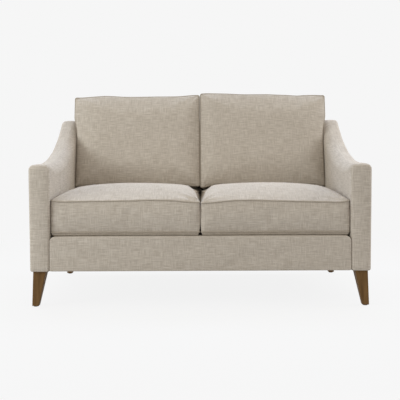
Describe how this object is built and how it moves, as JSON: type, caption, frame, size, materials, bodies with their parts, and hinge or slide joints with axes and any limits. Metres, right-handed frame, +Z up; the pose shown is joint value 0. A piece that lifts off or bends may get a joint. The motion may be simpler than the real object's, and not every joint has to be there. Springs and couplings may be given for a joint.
{
  "type": "high back settee",
  "caption": "Settee with a high back, scooped arms, loose piped seat and back cushions, and tapered wooden legs.",
  "frame": {"origin": "on the floor, under the middle of the settee's outline", "axes": "+X to the right as seen from the front, +Y from the front towards the back, +Z up"},
  "size_m": [1.5666, 0.93, 1.0173],
  "materials": {
    "linen_cover": "matte",
    "linen_back_panel": "matte",
    "linen_seat": "matte",
    "linen_back": "matte",
    "linen_piping": "matte",
    "seat_foam": "matte",
    "feather_inner": "matte",
    "oak_leg": "satin",
    "felt_deck": "matte",
    "black_dust_cloth": "matte",
    "plywood": "matte",
    "beech_frame": "matte",
    "spring_wire": "satin",
    "clip_steel": "satin",
    "jute_webbing": "matte",
    "zinc_bolt": "satin",
    "brass_nut": "satin",
    "nylon_glide": "matte",
    "zip_tape": "matte",
    "zip_slider": "satin"
  },
  "bodies": {
    "frame": {"arm_cover_left": "linen_cover", "arm_cover_right": "linen_cover", "inside_back_cover": "linen_cover", "outside_back_panel": "linen_back_panel", "front_border": "linen_cover", "seat_deck_pad": "felt_deck", "dust_cover": "black_dust_cloth", "arm_outer_ply_left": "plywood", "arm_outer_ply_right": "plywood", "arm_inner_ply_left": "plywood", "arm_inner_ply_right": "plywood", "arm_wrap_board_left": "plywood", "arm_wrap_board_right": "plywood", "arm_front_post_left": "beech_frame", "arm_front_post_right": "beech_frame", "back_post_left": "beech_frame", "back_post_right": "beech_frame", "back_centre_post": "beech_frame", "back_top_rail": "beech_frame", "back_tack_rail": "beech_frame", "back_bottom_rail": "beech_frame", "front_seat_rail": "beech_frame", "rear_seat_rail": "beech_frame", "side_rail_left": "beech_frame", "side_rail_right": "beech_frame", "centre_rail": "beech_frame", "corner_blocks": "beech_frame", "leg_blocks": "beech_frame", "seat_springs_left": "spring_wire", "seat_springs_right": "spring_wire", "spring_clips": "clip_steel", "back_webbing": "jute_webbing", "front_leg_left": "oak_leg", "front_leg_right": "oak_leg", "rear_leg_left": "oak_leg", "rear_leg_right": "oak_leg", "leg_bolts": "zinc_bolt", "leg_nuts": "brass_nut", "foot_glides": "nylon_glide"},
    "seat_cushion_left": {"seat_cover_left": "linen_seat", "seat_core_left": "seat_foam", "seat_piping_left": "linen_piping", "seat_zip_left": "zip_tape"},
    "back_cushion_left": {"back_cover_left": "linen_back", "back_core_left": "feather_inner", "back_piping_left": "linen_piping", "back_zip_left": "zip_tape"},
    "seat_zip_slider_left": {"seat_zip_slider_left": "zip_slider"},
    "back_zip_slider_left": {"back_zip_slider_left": "zip_slider"},
    "seat_cushion_right": {"seat_cover_right": "linen_seat", "seat_core_right": "seat_foam", "seat_piping_right": "linen_piping", "seat_zip_right": "zip_tape"},
    "back_cushion_right": {"back_cover_right": "linen_back", "back_core_right": "feather_inner", "back_piping_right": "linen_piping", "back_zip_right": "zip_tape"},
    "seat_zip_slider_right": {"seat_zip_slider_right": "zip_slider"},
    "back_zip_slider_right": {"back_zip_slider_right": "zip_slider"}
  },
  "joints": [
    {"name": "seat_lift_out_left", "type": "slide", "parent": "frame", "child": "seat_cushion_left", "axis": [0, -1, 0], "range_m": [0, 0.76]},
    {"name": "back_lift_out_left", "type": "slide", "parent": "frame", "child": "back_cushion_left", "axis": [0, 0, 1], "range_m": [0, 0.45]},
    {"name": "seat_zip_left", "type": "slide", "parent": "seat_cushion_left", "child": "seat_zip_slider_left", "axis": [-1, 0, 0], "range_m": [0, 0.49]},
    {"name": "back_zip_left", "type": "slide", "parent": "back_cushion_left", "child": "back_zip_slider_left", "axis": [1, 0, 0], "range_m": [0, 0.49]},
    {"name": "seat_lift_out_right", "type": "slide", "parent": "frame", "child": "seat_cushion_right", "axis": [0, -1, 0], "range_m": [0, 0.76]},
    {"name": "back_lift_out_right", "type": "slide", "parent": "frame", "child": "back_cushion_right", "axis": [0, 0, 1], "range_m": [0, 0.45]},
    {"name": "seat_zip_right", "type": "slide", "parent": "seat_cushion_right", "child": "seat_zip_slider_right", "axis": [1, 0, 0], "range_m": [0, 0.49]},
    {"name": "back_zip_right", "type": "slide", "parent": "back_cushion_right", "child": "back_zip_slider_right", "axis": [-1, 0, 0], "range_m": [0, 0.49]}
  ]
}
